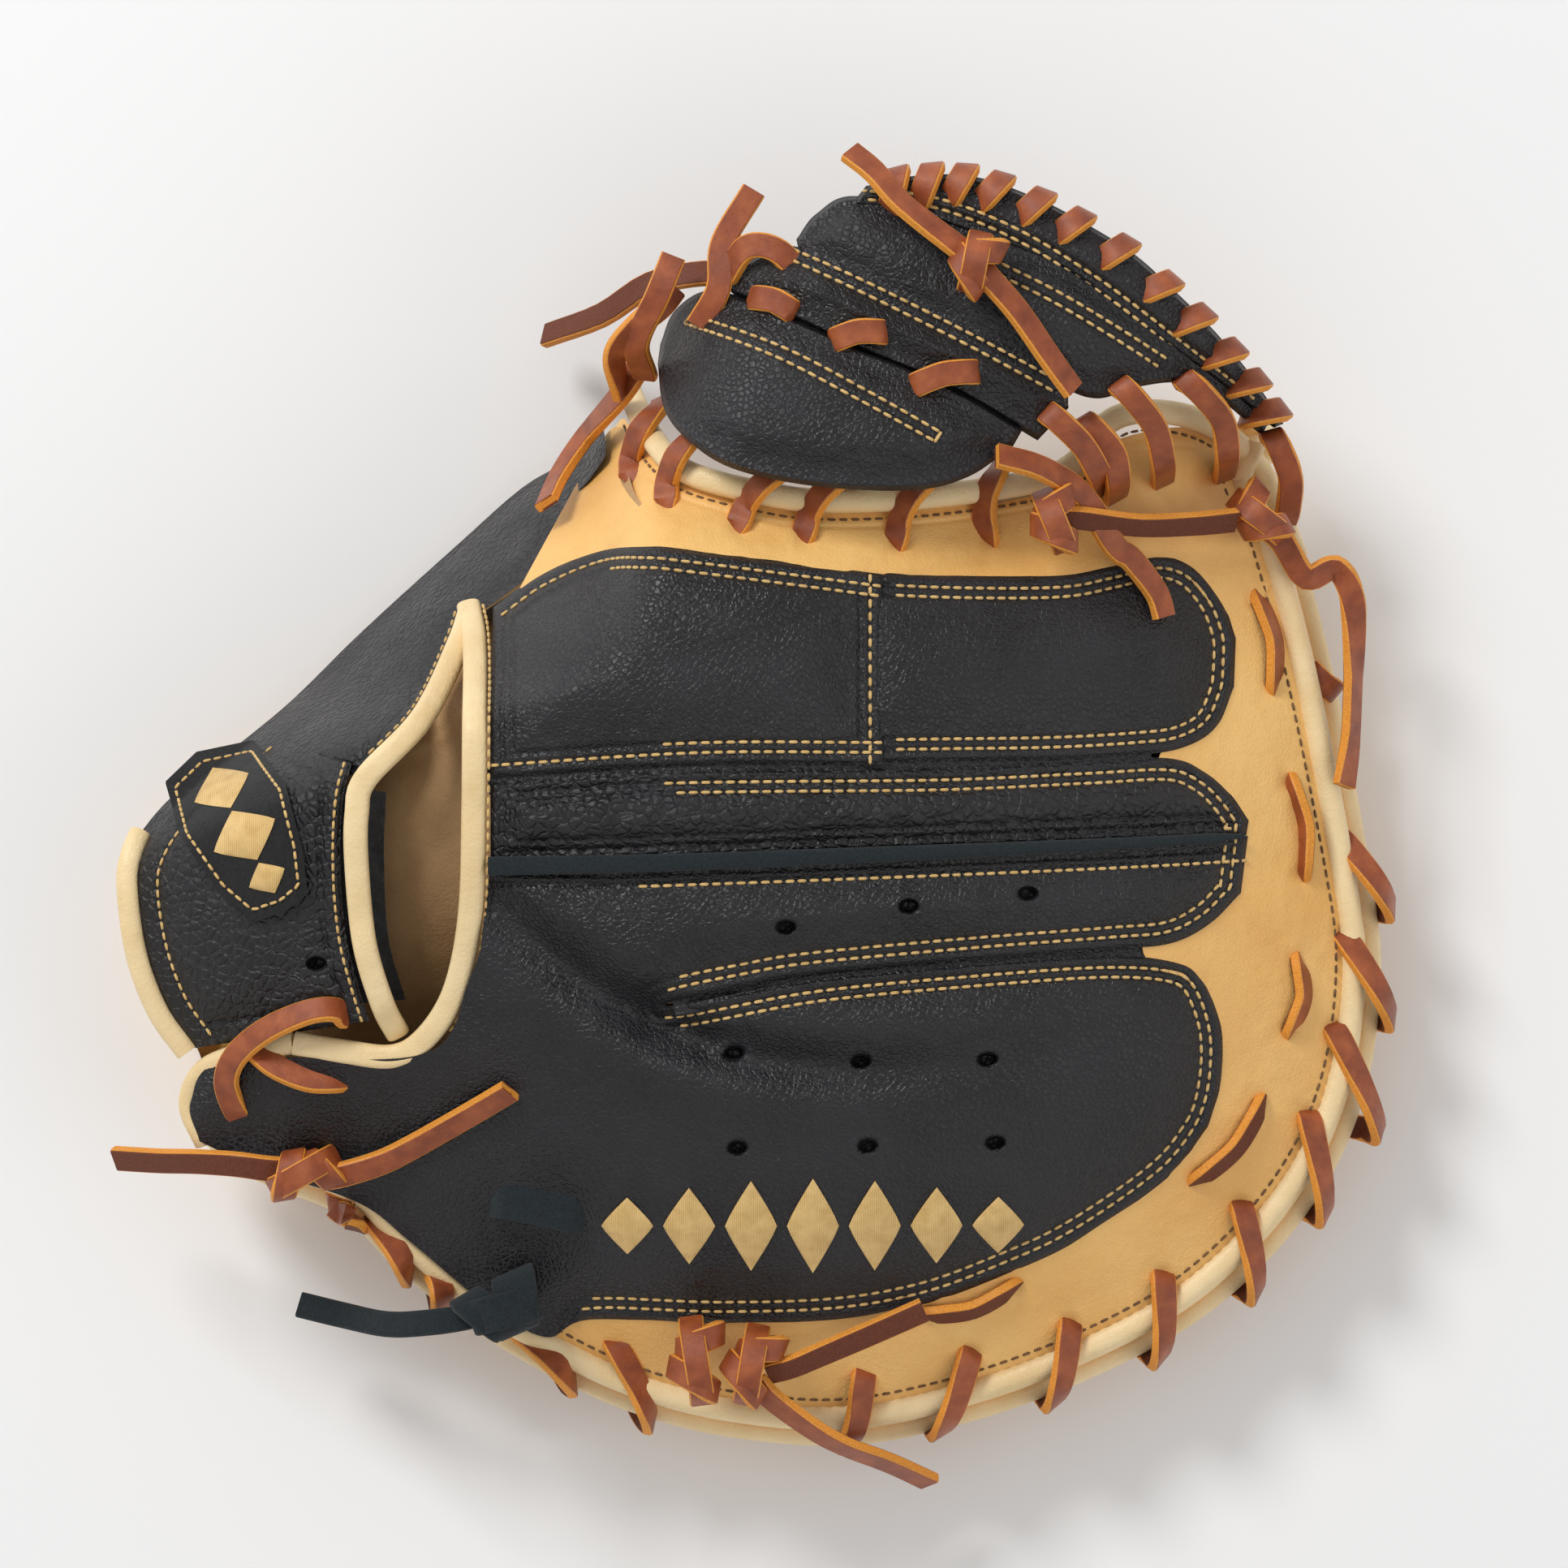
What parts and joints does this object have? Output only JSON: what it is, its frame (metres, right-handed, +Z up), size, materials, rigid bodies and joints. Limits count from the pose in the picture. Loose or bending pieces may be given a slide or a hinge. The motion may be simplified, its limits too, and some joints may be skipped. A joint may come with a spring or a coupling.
{
  "type": "baseball catchers mitt",
  "caption": "Round padded catcher's mitt, palm down, with a laced web, open wrist, finger panels, wrist strap and rolled, laced rim.",
  "frame": {"origin": "centre of the bounding box's bottom, so the mitt stands on the plane z = 0", "axes": "+Z up, out of the back of the hand; +X towards the fingertips; +Y towards the web"},
  "size_m": [0.3201, 0.3305, 0.1049],
  "materials": {
    "black_leather": "pebbled, semi-matt",
    "tan_leather": "smooth, semi-matt",
    "glove_liner": "soft, matt",
    "wool_felt": "matt felt",
    "cream_binding": "smooth",
    "black_fleece": "deep pile",
    "black_felt": "felt",
    "black_suede": "suede",
    "gold_thread": "embroidered",
    "rawhide_lace": "waxed, with raw edges"
  },
  "bodies": {
    "fingers": {"index_panel_near": "black_leather", "index_panel_tip": "black_leather", "middle_panel": "black_leather", "ring_panel": "black_leather", "little_finger_panel": "black_leather", "back_border": "tan_leather", "index_side_wall": "tan_leather", "emblem": "gold_thread", "palm_leather_fingers": "tan_leather", "palm_pad_fingers": "wool_felt", "palm_liner_fingers": "glove_liner", "stall_wall_index": "glove_liner", "stall_wall_middle": "glove_liner", "stall_wall_ring": "glove_liner", "rim_binding_back": "cream_binding", "rim_binding_palm": "cream_binding", "index_side_binding": "cream_binding", "opening_binding_fingers": "cream_binding", "heel_binding": "cream_binding", "rim_lace": "rawhide_lace", "border_lace": "rawhide_lace", "index_side_lace": "rawhide_lace", "index_knot": "rawhide_lace", "index_lace_end_long": "rawhide_lace", "index_lace_end_short": "rawhide_lace", "tip_knot": "rawhide_lace", "tip_lace_end": "rawhide_lace", "heel_knot": "rawhide_lace", "heel_lace_end_left": "rawhide_lace", "heel_lace_end_right": "rawhide_lace", "low_knot_near": "rawhide_lace", "low_knot_far": "rawhide_lace", "low_lace_end_upper": "rawhide_lace", "low_lace_end_lower": "rawhide_lace", "little_strap_knot": "black_suede", "little_strap_end": "black_suede"},
    "thumb": {"thumb_back": "black_leather", "palm_leather_thumb": "tan_leather", "palm_pad_thumb": "wool_felt", "palm_liner_thumb": "glove_liner", "opening_binding_thumb": "cream_binding", "thumb_lace_end_long": "rawhide_lace", "thumb_lace_end_low": "rawhide_lace"},
    "strap": {"wrist_strap": "black_leather", "strap_fleece": "black_fleece", "strap_patch": "black_felt", "strap_binding": "cream_binding", "strap_lace": "rawhide_lace"},
    "web": {"web_strip_1": "black_leather", "web_strip_2": "black_leather", "web_strip_3": "black_leather", "web_edge_strip": "black_leather", "web_strip_lace": "rawhide_lace", "web_edge_lace": "rawhide_lace", "web_finger_lace": "rawhide_lace", "web_knot": "rawhide_lace", "web_lace_end_upper": "rawhide_lace", "web_lace_end_lower": "rawhide_lace"}
  },
  "joints": [
    {"name": "mitt_fold", "type": "hinge", "parent": "fingers", "child": "thumb", "pos_m": [-0.0278, 0.045, 0.058], "axis": [-0.7549, -0.6559, 0], "range_deg": [0, 7]},
    {"name": "web_bend", "type": "hinge", "parent": "fingers", "child": "web", "pos_m": [0.035, 0.08525, 0.085], "axis": [-0.97, -0.243, 0], "range_deg": [0, 2.8]},
    {"name": "strap_lift", "type": "hinge", "parent": "thumb", "child": "strap", "pos_m": [-0.111, 0.01675, 0.072], "axis": [-0.873, 0.4877, 0], "range_deg": [0, 8]}
  ],
  "couplings": [
    {"joint": "web_bend", "follows": "mitt_fold", "ratio": 0.4}
  ]
}
